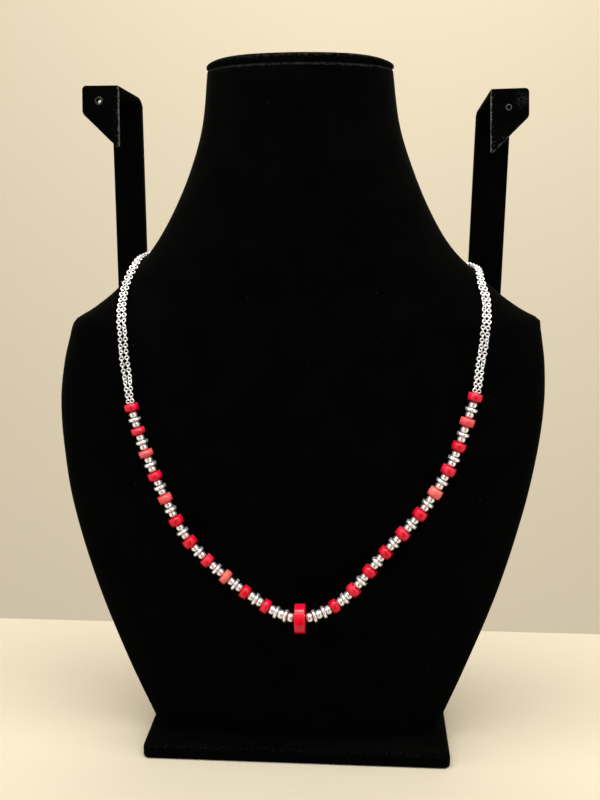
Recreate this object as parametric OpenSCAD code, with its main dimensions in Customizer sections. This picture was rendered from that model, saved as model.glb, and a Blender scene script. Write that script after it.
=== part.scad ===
// A coral and silver necklace on the black velvet neck bust that holds it.
// Millimetres. The table is z = 0, the front faces -Y, and the middle of the base is the origin.

/* [Bust] */
// Height of the neck's top edge above the table
stand_h = 325; // [318:1:332]
// Width across the shoulders
shoulder_w = 233; // [229:1:237]
// Lean of the flat back, in degrees
lean = 7.3; // [6.8:0.1:7.8]
// Y of the back's lower edge, on the base
back_foot = -19; // [-21:1:-17]
// Radius of the rolled edge at the neck's top
neck_edge = 1.5; // [1:0.1:2]

/* [Neck cap] */
// Thickness of the cap's rim at the front
cap_t = 3.9; // [3.3:0.1:4.5]
// How far the cap stands out past the neck
cap_lip = 0.5; // [0:0.1:1]
// Rise of the cap's middle above its rim
cap_dome = 0.7; // [0.3:0.1:1.5]

/* [Base] */
// Width of the base plate
base_w = 149.2; // [142:0.2:154]
// How far the base plate reaches in front of the origin
base_front = 50; // [48:1:52]
// How far the base plate reaches behind the origin
base_back = 55; // [53:1:57]
// Thickness of the base plate
base_t = 7; // [6:0.5:8]
// Radius of the base plate's upright corners
base_corner = 3.5; // [2:0.5:6]

/* [Earring arms] */
// Width of each post
post_w = 14.5; // [13:0.5:15]
// Thickness of each post
post_t = 5; // [4:0.5:6]
// Lower end of the posts, measured up the back
post_foot = 150; // [140:5:160]
// Thickness of the ear plates and of the webs that carry them
plate_t = 2.5; // [2:0.1:3]
// Width of an ear plate
ear_w = 17.4; // [15:0.2:18]
// Height of an ear plate's inner edge
ear_h = 29.5; // [26:0.5:31]
// Height of an ear plate's outer edge
ear_outer_h = 12.8; // [11:0.2:15]
// How far an ear plate stands in front of its post
ear_reach = 20; // [18:0.5:22]
// How far the right arm's web falls from its ear plate to its post
web_drop = 5; // [3:0.5:6]
// Diameter of the hole for an earring
ear_hole_d = 2; // [1.2:0.1:2.4]
// Usual distance of that hole from the plate's inner edge and from its top
ear_hole_in = 8; // [7:0.5:9]

/* [Coral] */
// Diameter of the centre coral
centre_d = 13.7; // [13.4:0.1:13.8]
// Thickness of the centre coral
centre_t = 4.9; // [4.7:0.1:5.1]
// Usual diameter of a small coral
coral_d = 6.45; // [6.2:0.05:6.5]
// Usual thickness of a small coral
coral_t = 3.6; // [3.4:0.05:3.7]
// Rounding of the centre coral's edges
centre_edge = 0.8; // [0.5:0.05:1]
// Rounding of the small corals' edges
coral_edge = 0.55; // [0.3:0.05:0.8]

/* [Silver beads] */
// Diameter of a round bead
round_d = 4.4; // [4.2:0.1:4.5]
// Length of a round bead along the thread
round_l = 2.75; // [2.7:0.05:2.9]
// Diameter of a ring
ring_d = 5.9; // [5.6:0.1:6.2]
// Thickness of a ring
ring_t = 1.35; // [1.25:0.05:1.4]

/* [Stringing] */
// Diameter of the bores in all the beads
bore_d = 1.1; // [1.05:0.05:1.2]
// Diameter of the thread
thread_d = 0.6; // [0.5:0.05:0.6]
// Gap between two beads
bead_gap = 0.32; // [0.26:0.01:0.34]
// Gap on each side of the centre coral, where the thread bends
centre_gap = 0.68; // [0.6:0.01:0.72]

/* [Chain] */
// Outer diameter of a chain link, so of a strand
chain_d = 2.45; // [2.35:0.05:2.5]
// Distance between the centre lines of a side's two strands
strand_pitch = 2.65; // [2.6:0.05:2.75]
// Diameter of the clasp
clasp_d = 5; // [4.5:0.1:5.5]
// Length of the clasp
clasp_l = 12; // [10:0.5:14]
// Rounding of the clasp's ends
clasp_edge = 1.2; // [0.5:0.1:1.5]

/* [Hidden] */
CORALS = 11;

function coral_name(side, k) = str("coral_", side, "_", k < 10 ? "0" : "", k);

VELVET = "#161616";
SILVER = "#d9d9dd";
CORAL_RED = "#c8202a";
CORAL_PINK = "#e2685c";

// The body's sections are written for a stand of this height and width.
TABLE_H = 325;
TABLE_W = 233;

// A section: its height, half its width, how far the front bulges past the sides, how far the back lies
// behind them, the width of each rounded corner of the back, and how far its sides lie to the right.
HEIGHT = 0;
HALF = 1;
BULGE = 2;
SIDE = 3;
CORNER = 4;
SHIFT = 5;
SECTIONS = [
    [7, 69, 9, 10, 12, -1],
    [40, 83.5, 14, 11, 14, -1.5],
    [80, 98.8, 20, 12, 17, -1.6],
    [120, 110.1, 25, 13, 19, -1.5],
    [150, 115, 28, 14, 20, -0.6],
    [172, 116.5, 29.5, 14.5, 20, 0.1],
    [190, 115.2, 30, 15, 20, 1],
    [202, 113, 30, 15, 20, 1.7],
    [207.5, 111.8, 30, 15, 19, 2],
    [210.5, 110.6, 30, 15, 19, 2.9],
    [212.5, 107.6, 30, 15, 18, 3.3],
    [215, 102.8, 30, 15, 18, 2.8],
    [222, 93, 30, 15, 18, 2.4],
    [231, 83, 30, 16, 18, 1.8],
    [244, 70.6, 30, 17, 19, 1],
    [260, 60.8, 30, 17.5, 21, 0.9],
    [280, 52, 30, 18, 23, 0.9],
    [300, 46, 30, 18, 25, 0.5],
    [325, 43, 31, 18, 26, 0],
];
TOP_ROW = len(SECTIONS) - 1;

// The necklace's way round the bust: the turn round the section (0 right, 90 front, 180 left, 270 back), the
// height, and how far its middle line lies off the velvet.
ROUTE = [
    [-90, 240.5, 2.9],
    [-67, 238.2, 1.75],
    [-45, 236, 1.65],
    [-28, 234.8, 1.65],
    [-13, 233.9, 1.65],
    [-1, 232.8, 1.65],
    [10, 230.8, 1.65],
    [19, 227, 1.65],
    [26.5, 221.4, 1.65],
    [35, 215.2, 1.8],
    [40.8, 210.5, 1.9],
    [41.9, 204.3, 1.75],
    [44.1, 192.5, 1.65],
    [45.6, 182.5, 3.1],
    [48.3, 168.5, 3.45],
    [52.3, 146.5, 3.45],
    [58.8, 125.6, 3.45],
    [66.8, 107.2, 3.45],
    [74.5, 88.1, 3.6],
    [79.8, 80.1, 5],
    [85.2, 76.2, 6.9],
    [88.4, 75.3, 7.1],
    [91.8, 76, 6.9],
    [97.2, 79.4, 5],
    [107.8, 92.8, 3.5],
    [117, 110.4, 3.45],
    [122.2, 131.2, 3.45],
    [126.4, 152.2, 3.45],
    [130, 173, 3.5],
    [131.4, 181.5, 2.6],
    [132.6, 188, 1.65],
    [134.6, 198, 1.7],
    [137.1, 209.5, 1.9],
    [144.7, 216, 1.8],
    [150, 220.2, 1.65],
    [157, 225.6, 1.65],
    [163, 230.8, 1.65],
    [168.5, 235, 1.65],
    [177, 237.8, 1.65],
    [187, 238.9, 1.65],
    [203, 239.3, 1.65],
    [225, 239.6, 1.65],
    [247, 240.1, 1.75],
    [270, 240.5, 2.9],
];
LAST_ROW = len(ROUTE) - 1;
CENTRE_ROW = 21;

// Diameter and thickness of each small coral against the usual one, from the centre outwards.
WIDE = 0;
THICK = 1;
LEFT_CORALS = [
    [1.00, 0.98],
    [0.98, 1.02],
    [1.03, 0.90],
    [0.95, 1.03],
    [1.02, 1.10],
    [1.02, 1.05],
    [0.99, 0.97],
    [1.00, 0.96],
    [1.02, 0.80],
    [0.98, 0.80],
    [1.00, 0.94],
];
RIGHT_CORALS = [
    [0.97, 1.00],
    [1.02, 1.01],
    [1.00, 1.04],
    [0.96, 1.02],
    [1.03, 1.07],
    [1.00, 1.13],
    [0.98, 1.11],
    [1.03, 1.05],
    [0.97, 1.02],
    [1.02, 1.00],
    [1.00, 1.00],
];
// The lighter, pinker corals, counted from the centre outwards.
LEFT_PINK = [3, 7, 9];
RIGHT_PINK = [7, 10];

// The turns between which the back is flat, with a rounded corner on each side of it.
BACK_FROM = 225;
BACK_TO = 315;
CORNER_TURN = BACK_FROM - 180;

// Number of steps across the front of a section, round a corner of it, and between two rows of the table.
FRONT_STEPS = 22;
CORNER_STEPS = 3;
ROW_STEPS = 2;
TURNS = concat(
    [for (k = [0:FRONT_STEPS - 1]) k * 180 / FRONT_STEPS],
    [for (k = [0:CORNER_STEPS]) 180 + k * CORNER_TURN / CORNER_STEPS],
    [for (k = [0:CORNER_STEPS - 1]) BACK_TO + k * CORNER_TURN / CORNER_STEPS]
);

// The neck cap's rings: height as a share of the rim's thickness, and how many lips it lies outside the neck.
CAP_UP = 0;
CAP_OUT = 1;
CAP_RINGS = [[0, -1], [0.2, 1], [0.6, 1], [0.85, -0.2], [1, -3]];
// Share of the neck's size at which the cap's dome becomes flat.
DOME_FLAT = 0.55;
// Share of its thickness that the cap loses towards its sides, and how late it loses it.
CAP_TAPER = 0.5;
TAPER_POWER = 6;

// An earring arm, in the leaning frame of the back: its post's inner side, its plate's inner side and top, the
// fall of its web as a share of web_drop, the post's lean outwards and the plate's turn inwards in degrees, how
// much its post is wider than post_w, and how far its hole lies further out and further down than usual.
POST_IN = 0;
EAR_IN = 1;
EAR_TOP = 2;
FALL = 3;
POST_LEAN = 4;
EAR_TURN = 5;
WIDER = 6;
HOLE_OUT = 7;
HOLE_DOWN = 8;
LEFT_ARM = [78, 85.2, 319, 0.2, 1.4, 0, 0, 1.3, -0.8];
RIGHT_ARM = [82.3, 87.7, 315.5, 0.95, 1.8, 1.4, 1.7, 0.3, 0.3];
// How far up the back a leaning post's inner side is at POST_IN.
LEAN_FROM = 262;
// Roundings of an ear plate's upper and lower outer corners and of its lower tip.
EAR_ROUND = 2;
EAR_LOW_ROUND = 3;
EAR_TIP = 0.6;

// Samples between two rows of the route, and the small steps that directions on the velvet and along it span.
ROUTE_STEPS = 8;
NUDGE = 0.3;
LOOK = 1;

// Kinds of bead, and their order on each side from the centre outwards.
ROUND = 0;
RING = 1;
CORAL = 2;
FIRST_BEADS = [ROUND, RING, ROUND, RING, ROUND, CORAL];
NEXT_BEADS = [ROUND, RING, ROUND, CORAL];
PATTERN = concat(FIRST_BEADS, [for (k = [2:CORALS]) each NEXT_BEADS]);

THREAD_SIDES = 6;
CHAIN_SIDES = 8;
CHAIN_STEP = 3.5;
BEAD_FN = 48;
// Rounding of a ring's edge as a share of its thickness.
RING_EDGE = 0.45;
FIT_GAP = 0.1;
// How far a drill reaches past what it cuts.
PAST = 1;

function clamp(v, low, high) = min(max(v, low), high);
function unit(v) = v / norm(v);

// The columns of the section table at any height, on a smooth curve through its rows.
function scaled(row, c) =
    SECTIONS[row][c] * (c == HEIGHT ? stand_h / TABLE_H : c == HALF ? shoulder_w / TABLE_W : 1);
function slope(row, c) =
    let (a = max(row - 1, 0), b = min(row + 1, TOP_ROW))
    (scaled(b, c) - scaled(a, c)) / (scaled(b, HEIGHT) - scaled(a, HEIGHT));
function row_above(z, row = 1) = row < TOP_ROW && z > scaled(row, HEIGHT) ? row_above(z, row + 1) : row;
function column(z, c) =
    let (
        high = clamp(z, scaled(0, HEIGHT), scaled(TOP_ROW, HEIGHT)),
        row = row_above(high),
        span = scaled(row, HEIGHT) - scaled(row - 1, HEIGHT),
        t = (high - scaled(row - 1, HEIGHT)) / span
    )
    scaled(row - 1, c) * (2 * t ^ 3 - 3 * t ^ 2 + 1) + scaled(row, c) * (3 * t ^ 2 - 2 * t ^ 3)
        + span * ((t ^ 3 - 2 * t ^ 2 + t) * slope(row - 1, c) + (t ^ 3 - t ^ 2) * slope(row, c));

function back_y(z) = back_foot + (z - base_t) * tan(lean);

// A point of the velvet at a turn and a height, or of a section that is drawn in to a share of its size.
function skin(turn, z, share = 1) =
    let (
        half = column(z, HALF),
        side = column(z, SIDE),
        corner = column(z, CORNER),
        middle = back_y(z) - side,
        a = (turn + 360) % 360,
        t = (a <= BACK_FROM ? a - 180 : 360 - a) * 90 / CORNER_TURN,
        x = a <= 180 ? half * cos(a)
            : a <= BACK_FROM ? -(half - corner) - corner * cos(t)
            : a <= BACK_TO ? (half - corner) * (a - 270) / (BACK_TO - 270)
            : half - corner + corner * cos(t),
        shift = column(z, SHIFT) * (a <= 180 ? cos(a) ^ 2 : 1),
        y = a <= 180 ? -column(z, BULGE) * sin(a)
            : a > BACK_FROM && a <= BACK_TO ? side
            : side * sin(t)
    )
    [(x + shift) * share, middle + y * share, z];

function skin_normal(turn, z) =
    let (
        upward = skin(turn, z + NUDGE) - skin(turn, z - NUDGE),
        onward = skin(turn + NUDGE, z) - skin(turn - NUDGE, z)
    )
    unit(cross(upward, onward));

// The route as a closed smooth curve through its rows.
function route_row(k) =
    k < 0 ? ROUTE[LAST_ROW + k] - [360, 0, 0] : k > LAST_ROW ? ROUTE[k - LAST_ROW] + [360, 0, 0] : ROUTE[k];
function route_value(k, t) =
    let (a = route_row(k - 1), b = route_row(k), c = route_row(k + 1), d = route_row(k + 2))
    (2 * b + (c - a) * t + (2 * a - 5 * b + 4 * c - d) * t ^ 2 + (3 * b - a - 3 * c + d) * t ^ 3) / 2;
VALUES = concat(
    [for (k = [0:LAST_ROW - 1], j = [0:ROUTE_STEPS - 1]) route_value(k, j / ROUTE_STEPS)],
    [ROUTE[LAST_ROW]]
);
LIFTS = [for (v = VALUES) skin_normal(v[0], v[1] * stand_h / TABLE_H)];
POINTS = [for (k = [0:len(VALUES) - 1])
    skin(VALUES[k][0], VALUES[k][1] * stand_h / TABLE_H) + LIFTS[k] * VALUES[k][2]];
LAST_POINT = len(POINTS) - 1;
STRIDES = [for (k = [0:LAST_POINT]) norm(POINTS[min(k + 1, LAST_POINT)] - POINTS[k])];
RUNS = [for (k = 0, s = 0; k <= LAST_POINT; s = s + STRIDES[k], k = k + 1) s];
CENTRE_RUN = RUNS[CENTRE_ROW * ROUTE_STEPS];
LOOP = RUNS[LAST_POINT];
echo(necklace_length = LOOP);

// Distances along the route are counted from the middle of the centre coral, positive to the left.
XS = [for (k = [0:LAST_POINT]) [RUNS[k] - CENTRE_RUN, POINTS[k][0]]];
YS = [for (k = [0:LAST_POINT]) [RUNS[k] - CENTRE_RUN, POINTS[k][1]]];
ZS = [for (k = [0:LAST_POINT]) [RUNS[k] - CENTRE_RUN, POINTS[k][2]]];
NX = [for (k = [0:LAST_POINT]) [RUNS[k] - CENTRE_RUN, LIFTS[k][0]]];
NY = [for (k = [0:LAST_POINT]) [RUNS[k] - CENTRE_RUN, LIFTS[k][1]]];
NZ = [for (k = [0:LAST_POINT]) [RUNS[k] - CENTRE_RUN, LIFTS[k][2]]];
function wrapped(s) = s > LOOP - CENTRE_RUN ? s - LOOP : s < -CENTRE_RUN ? s + LOOP : s;
function at(s) = let (w = wrapped(s)) [lookup(w, XS), lookup(w, YS), lookup(w, ZS)];
function off_velvet(s) = let (w = wrapped(s)) unit([lookup(w, NX), lookup(w, NY), lookup(w, NZ)]);
function heading(s) = unit(at(s + LOOK) - at(s - LOOK));

// How far along the route each bead of a side begins, given that side's table of corals.
LAST_BEAD = len(PATTERN) - 1;
function coral_bead(number) = len(FIRST_BEADS) - 1 + (number - 1) * len(NEXT_BEADS);
function coral_number(k) = 1 + (k - coral_bead(1)) / len(NEXT_BEADS);
function bead_length(k, corals) =
    PATTERN[k] == ROUND ? round_l
        : PATTERN[k] == RING ? ring_t
        : coral_t * corals[coral_number(k) - 1][THICK];
function bead_pitch(k, corals) = bead_length(k, corals) + bead_gap;
function bead_starts(corals) =
    [for (k = 0, s = centre_t / 2 + centre_gap; k <= LAST_BEAD; s = s + bead_pitch(k, corals), k = k + 1) s];
LEFT_STARTS = bead_starts(LEFT_CORALS);
RIGHT_STARTS = bead_starts(RIGHT_CORALS);
LEFT_END = LEFT_STARTS[LAST_BEAD] + bead_length(LAST_BEAD, LEFT_CORALS);
RIGHT_END = RIGHT_STARTS[LAST_BEAD] + bead_length(LAST_BEAD, RIGHT_CORALS);
CLASP_RUN = LOOP / 2;

// A closed solid through rings of points, which turn clockwise seen from the last ring.
module loft(rings) {
    n = len(rings[0]);
    last = (len(rings) - 1) * n;
    first_face = [for (j = [n - 1:-1:0]) j];
    last_face = [for (j = [0:n - 1]) last + j];
    sides = [for (i = [0:len(rings) - 2], j = [0:n - 1]) each
        let (a = i * n + j, b = i * n + (j + 1) % n) [[a, b, b + n], [a, b + n, a + n]]];
    polyhedron([for (ring = rings) each ring], concat([first_face], sides, [last_face]));
}

// A tube round the route, from one distance to another, shifted sideways on the velvet.
module tube(runs, diameter, sides, shift = 0) {
    loft([for (s = runs)
        let (ahead = heading(s), across = cross(ahead, off_velvet(s)), out = cross(across, ahead))
        [for (j = [0:sides - 1])
            let (a = j * 360 / sides)
            at(s) + across * shift + (out * cos(a) - across * sin(a)) * diameter / 2]]);
}

// An outline whose corners are rounded to the radius beside each point.
function rounded(points, radii, steps = 5) =
    [for (k = [0:len(points) - 1]) each
        let (
            p = points[k],
            u = unit(points[(k + len(points) - 1) % len(points)] - p),
            v = unit(points[(k + 1) % len(points)] - p),
            half = acos(clamp(u * v, -1, 1)) / 2,
            arc = 180 - 2 * half,
            reach = radii[k] / tan(half),
            middle = p + unit(u + v) * radii[k] / sin(half),
            from = p + u * reach - middle,
            to = p + v * reach - middle
        )
        radii[k] == 0 ? [p]
            : [for (j = [0:steps])
                middle + unit(from * sin(arc * (1 - j / steps)) + to * sin(arc * j / steps)) * radii[k]]];

module bust_body() {
    heights = [for (row = [0:TOP_ROW - 1], j = [0:ROW_STEPS - 1])
        scaled(row, HEIGHT) + (scaled(row + 1, HEIGHT) - scaled(row, HEIGHT)) * j / ROW_STEPS];
    rings = [for (z = heights) [for (turn = TURNS) skin(turn, max(z, base_t))]];
    neck_half = column(stand_h, HALF);
    rolled = [for (a = [0, 45, 90]) [for (turn = TURNS)
        skin(turn, stand_h - neck_edge * (1 - sin(a)), 1 - neck_edge * (1 - cos(a)) / neck_half)]];
    color(VELVET) loft(concat(rings, rolled));
}

module neck_cap() {
    half = column(stand_h, HALF);
    lip = cap_lip / half;
    rim = [for (ring = CAP_RINGS) [for (turn = TURNS)
        let (thickness = cap_t * (1 - CAP_TAPER * abs(skin(turn, stand_h)[0] / half) ^ TAPER_POWER))
        skin(turn, stand_h, 1 + ring[CAP_OUT] * lip) + [0, 0, ring[CAP_UP] * thickness]]];
    dome = [for (turn = TURNS) skin(turn, stand_h, DOME_FLAT) + [0, 0, cap_t + cap_dome]];
    color(VELVET) loft(concat(rim, [dome]));
}

module base_plate() {
    x = base_w / 2;
    corners = [[-x, -base_front], [x, -base_front], [x, base_back], [-x, base_back]];
    outline = rounded(corners, [for (corner = corners) base_corner]);
    color(VELVET) linear_extrude(base_t) polygon(outline);
}

// An arm on the right; its post, its ear plate and the sloping web between them are one piece.
module earring_arm(arm) {
    ear_in = arm[EAR_IN];
    ear_top = arm[EAR_TOP];
    drop = web_drop * arm[FALL];
    post_wide = post_w + arm[WIDER];
    post_top = ear_top - drop;
    post_in = arm[POST_IN] + (post_top - LEAN_FROM) * tan(arm[POST_LEAN]);
    web_fall = atan(drop / ear_reach);
    web_l = (ear_reach + post_t - plate_t / 2) / cos(web_fall);
    plate = rounded(
        [[0, 0], [ear_w, 0], [ear_w, -ear_outer_h], [0, -ear_h]],
        [0, EAR_ROUND, EAR_LOW_ROUND, EAR_TIP]
    );
    web = [
        [ear_in, 0],
        [ear_in + ear_w - EAR_ROUND, 0],
        [post_in + post_wide, web_l - post_t],
        [post_in + post_wide, web_l],
        [post_in, web_l],
        [post_in, web_l - post_t],
    ];
    color(VELVET) translate([0, back_foot - base_t * tan(lean), 0]) rotate([-lean, 0, 0]) difference() {
        union() {
            translate([arm[POST_IN], FIT_GAP, LEAN_FROM]) rotate([0, arm[POST_LEAN], 0])
                translate([0, 0, post_foot - LEAN_FROM])
                cube([post_wide, post_t, post_top - post_foot - plate_t / 2]);
            translate([ear_in, -ear_reach + plate_t, ear_top]) rotate([0, -arm[EAR_TURN], 0])
                rotate([90, 0, 0]) linear_extrude(plate_t) polygon(plate);
            translate([0, -ear_reach + plate_t / 2, ear_top])
                rotate([-web_fall, 0, 0]) translate([0, 0, -plate_t]) linear_extrude(plate_t) polygon(web);
        }
        translate([
            ear_in + ear_hole_in + arm[HOLE_OUT],
            -ear_reach - PAST,
            ear_top - ear_hole_in - arm[HOLE_DOWN],
        ]) rotate([-90, 0, 0]) cylinder(h = plate_t + 2 * PAST, d = ear_hole_d, $fn = BEAD_FN);
    }
}

module earring_arm_left() {
    mirror([1, 0, 0]) earring_arm(LEFT_ARM);
}

module earring_arm_right() {
    earring_arm(RIGHT_ARM);
}

// A bead's frame: both ends of its bore lie on the route.
module strung(middle, length) {
    from = at(middle - length / 2);
    to = at(middle + length / 2);
    ahead = unit(to - from);
    translate((from + to) / 2) rotate([0, acos(ahead[2]), atan2(ahead[1], ahead[0])]) children();
}

module drum(diameter, thickness, edge, bore = bore_d) {
    rotate_extrude($fn = BEAD_FN) {
        translate([bore / 2, -thickness / 2]) square([diameter / 2 - bore / 2 - edge, thickness]);
        translate([diameter / 2 - 2 * edge, edge - thickness / 2]) square([2 * edge, thickness - 2 * edge]);
        for (end = [-1, 1])
            translate([diameter / 2 - edge, end * (thickness / 2 - edge)]) circle(edge, $fn = BEAD_FN);
    }
}

module round_bead() {
    rotate_extrude($fn = BEAD_FN) intersection() {
        circle(round_d / 2, $fn = BEAD_FN);
        translate([bore_d / 2, -round_l / 2]) square([round_d, round_l]);
    }
}

module coral_centre() {
    color(CORAL_RED) strung(0, centre_t) drum(centre_d, centre_t, centre_edge);
}

module small_coral(side, number) {
    corals = side == "left" ? LEFT_CORALS : RIGHT_CORALS;
    starts = side == "left" ? LEFT_STARTS : RIGHT_STARTS;
    pink = len([for (lighter = side == "left" ? LEFT_PINK : RIGHT_PINK) if (lighter == number) lighter]) > 0;
    thickness = coral_t * corals[number - 1][THICK];
    middle = starts[coral_bead(number)] + thickness / 2;
    color(pink ? CORAL_PINK : CORAL_RED) strung(side == "left" ? middle : -middle, thickness)
        drum(coral_d * corals[number - 1][WIDE], thickness, coral_edge);
}

module silver_beads(side, kind) {
    starts = side == "left" ? LEFT_STARTS : RIGHT_STARTS;
    length = kind == ROUND ? round_l : ring_t;
    color(SILVER) for (k = [0:LAST_BEAD]) if (PATTERN[k] == kind) {
        middle = starts[k] + length / 2;
        strung(side == "left" ? middle : -middle, length) {
            if (kind == ROUND) round_bead();
            if (kind == RING) drum(ring_d, ring_t, RING_EDGE * ring_t);
        }
    }
}

// The thread runs straight through each bead and bends between them.
module thread() {
    right = [for (k = [LAST_BEAD:-1:0]) -RIGHT_STARTS[k]];
    runs = concat([-RIGHT_END - FIT_GAP], right, LEFT_STARTS, [LEFT_END + FIT_GAP]);
    color("white") tube(runs, thread_d, THREAD_SIDES);
}

// A strand from its last coral to the clasp.
module chain(side, shift) {
    from = (side == "left" ? LEFT_END : RIGHT_END) + bead_gap;
    to = CLASP_RUN - clasp_l / 2 - bead_gap;
    count = ceil((to - from) / CHAIN_STEP);
    away = [for (k = [0:count]) from + (to - from) * k / count];
    back = [for (k = [count:-1:0]) -away[k]];
    color(SILVER) tube(side == "left" ? away : back, chain_d, CHAIN_SIDES, shift);
}

module clasp() {
    color(SILVER) strung(CLASP_RUN, clasp_l) drum(clasp_d, clasp_l, clasp_edge, 0);
}

bust_body();
neck_cap();
base_plate();
earring_arm_left();
earring_arm_right();
coral_centre();
for (side = ["left", "right"], k = [1:CORALS])
    small_coral(side, k);
silver_beads("left", ROUND);  // silver_rounds_left
silver_beads("right", ROUND);  // silver_rounds_right
silver_beads("left", RING);  // silver_rings_left
silver_beads("right", RING);  // silver_rings_right
thread();
chain("left", strand_pitch / 2);  // chain_left_inner
chain("left", -strand_pitch / 2);  // chain_left_outer
chain("right", strand_pitch / 2);  // chain_right_inner
chain("right", -strand_pitch / 2);  // chain_right_outer
clasp();
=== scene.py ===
"""A coral and silver necklace on a black velvet neck bust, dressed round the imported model.

Lengths in the tables are millimetres, as in the part; MM turns them into metres when a mesh is made.
"""

import random
from math import acos, atan, atan2, cos, exp, pi, radians, sin, tan, tau

import bmesh
import bpy
import numpy as np
from mathutils import Matrix, Vector


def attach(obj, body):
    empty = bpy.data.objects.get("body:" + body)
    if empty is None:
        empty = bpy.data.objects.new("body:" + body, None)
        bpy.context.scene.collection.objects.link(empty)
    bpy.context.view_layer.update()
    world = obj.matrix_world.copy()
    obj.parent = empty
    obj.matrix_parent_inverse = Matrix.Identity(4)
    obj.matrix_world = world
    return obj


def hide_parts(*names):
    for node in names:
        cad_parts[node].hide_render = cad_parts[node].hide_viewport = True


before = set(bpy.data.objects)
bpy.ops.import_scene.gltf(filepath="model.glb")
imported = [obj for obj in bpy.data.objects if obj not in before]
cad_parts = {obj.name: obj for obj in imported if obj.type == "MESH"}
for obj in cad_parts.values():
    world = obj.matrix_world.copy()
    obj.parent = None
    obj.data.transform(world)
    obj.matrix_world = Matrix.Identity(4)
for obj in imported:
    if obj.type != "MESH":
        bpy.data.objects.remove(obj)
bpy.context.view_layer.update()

MM = 0.001
BODY = "root"

# The camera of the photograph: its place, its yaw, pitch and roll in degrees, and its focal length.
CAMERA_AT = (30.9, -459.1, 270.0)
CAMERA_TURN = (-3.88, -12.39, -0.2)
LENS = 42.75


def new_object(name, data):
    obj = bpy.data.objects.new(name, data)
    bpy.context.scene.collection.objects.link(obj)
    return obj


def make_camera():
    yaw, pitch, roll = (radians(angle) for angle in CAMERA_TURN)
    forward = Vector((sin(yaw) * cos(pitch), cos(yaw) * cos(pitch), sin(pitch)))
    right = Vector((cos(yaw), -sin(yaw), 0))
    up = right.cross(forward)
    rolled_right = right * cos(roll) + up * sin(roll)
    rolled_up = up * cos(roll) - right * sin(roll)
    data = bpy.data.cameras.new("camera")
    data.lens = LENS
    data.sensor_width = 36
    data.clip_start = 0.01
    data.clip_end = 50
    camera = new_object("camera", data)
    turn = Matrix((rolled_right, rolled_up, -forward)).transposed()
    camera.matrix_world = Matrix.Translation(Vector(CAMERA_AT) * MM) @ turn.to_4x4()
    bpy.context.scene.camera = camera


make_camera()
bpy.context.scene.view_settings.view_transform = "Standard"

# The bust's sections: height, half width, the front's bulge, the back's depth, the width of its corners,
# and how far the sides lie to the right.
HEIGHT, HALF, BULGE, SIDE, CORNER, SHIFT = range(6)
SECTIONS = np.array([
    [7, 69, 9, 10, 12, -1], [40, 83.5, 14, 11, 14, -1.5], [80, 98.8, 20, 12, 17, -1.6],
    [120, 110.1, 25, 13, 19, -1.5], [150, 115, 28, 14, 20, -0.6], [172, 116.5, 29.5, 14.5, 20, 0.1],
    [190, 115.2, 30, 15, 20, 1], [202, 113, 30, 15, 20, 1.7], [207.5, 111.8, 30, 15, 19, 2],
    [210.5, 110.6, 30, 15, 19, 2.9], [212.5, 107.6, 30, 15, 18, 3.3], [215, 102.8, 30, 15, 18, 2.8],
    [222, 93, 30, 15, 18, 2.4], [231, 83, 30, 16, 18, 1.8], [244, 70.6, 30, 17, 19, 1],
    [260, 60.8, 30, 17.5, 21, 0.9], [280, 52, 30, 18, 23, 0.9], [300, 46, 30, 18, 25, 0.5],
    [325, 43, 31, 18, 26, 0],
], float)
BASE_T = 7.0
STAND_H = 325.0
BACK_FOOT = -19.0
LEAN = radians(7.3)
NECK_EDGE = 1.5
BACK_FROM = 225.0
BACK_TO = 315.0

# The necklace's way round the bust: the turn round the section, the height, and its lift off the velvet.
ROUTE = np.array([
    [-90, 240.5, 2.9], [-67, 238.2, 1.75], [-45, 236, 1.65], [-28, 234.8, 1.65],
    [-13, 233.9, 1.65], [-1, 232.8, 1.65], [10, 230.8, 1.65], [19, 227, 1.65],
    [26.5, 221.4, 1.65], [35, 215.2, 1.8], [40.8, 210.5, 1.9], [41.9, 204.3, 1.75],
    [44.1, 192.5, 1.65], [45.6, 182.5, 3.1], [48.3, 168.5, 3.45], [52.3, 146.5, 3.45],
    [58.8, 125.6, 3.45], [66.8, 107.2, 3.45], [74.5, 88.1, 3.6], [79.8, 80.1, 5],
    [85.2, 76.2, 6.9], [88.4, 75.3, 7.1], [91.8, 76, 6.9], [97.2, 79.4, 5],
    [107.8, 92.8, 3.5], [117, 110.4, 3.45], [122.2, 131.2, 3.45], [126.4, 152.2, 3.45],
    [130, 173, 3.5], [131.4, 181.5, 2.6], [132.6, 188, 1.65], [134.6, 198, 1.7],
    [137.1, 209.5, 1.9], [144.7, 216, 1.8], [150, 220.2, 1.65], [157, 225.6, 1.65],
    [163, 230.8, 1.65], [168.5, 235, 1.65], [177, 237.8, 1.65], [187, 238.9, 1.65],
    [203, 239.3, 1.65], [225, 239.6, 1.65], [247, 240.1, 1.75], [270, 240.5, 2.9],
], float)
# The row at the middle of the centre coral, and the steps from each row to the next.
CENTRE_ROW = 21
ROUTE_STEPS = 8
# How far to either side the velvet's normal and the route's direction are measured.
NUDGE = 0.3
LOOK = 1.0

# Diameter and thickness of each small coral against the usual one, from the centre outwards.
CORALS = {
    "left": [
        (1, 0.98), (0.98, 1.02), (1.03, 0.9), (0.95, 1.03), (1.02, 1.1), (1.02, 1.05),
        (0.99, 0.97), (1, 0.96), (1.02, 0.8), (0.98, 0.8), (1, 0.94),
    ],
    "right": [
        (0.97, 1), (1.02, 1.01), (1, 1.04), (0.96, 1.02), (1.03, 1.07), (1, 1.13),
        (0.98, 1.11), (1.03, 1.05), (0.97, 1.02), (1.02, 1), (1, 1),
    ],
}
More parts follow.
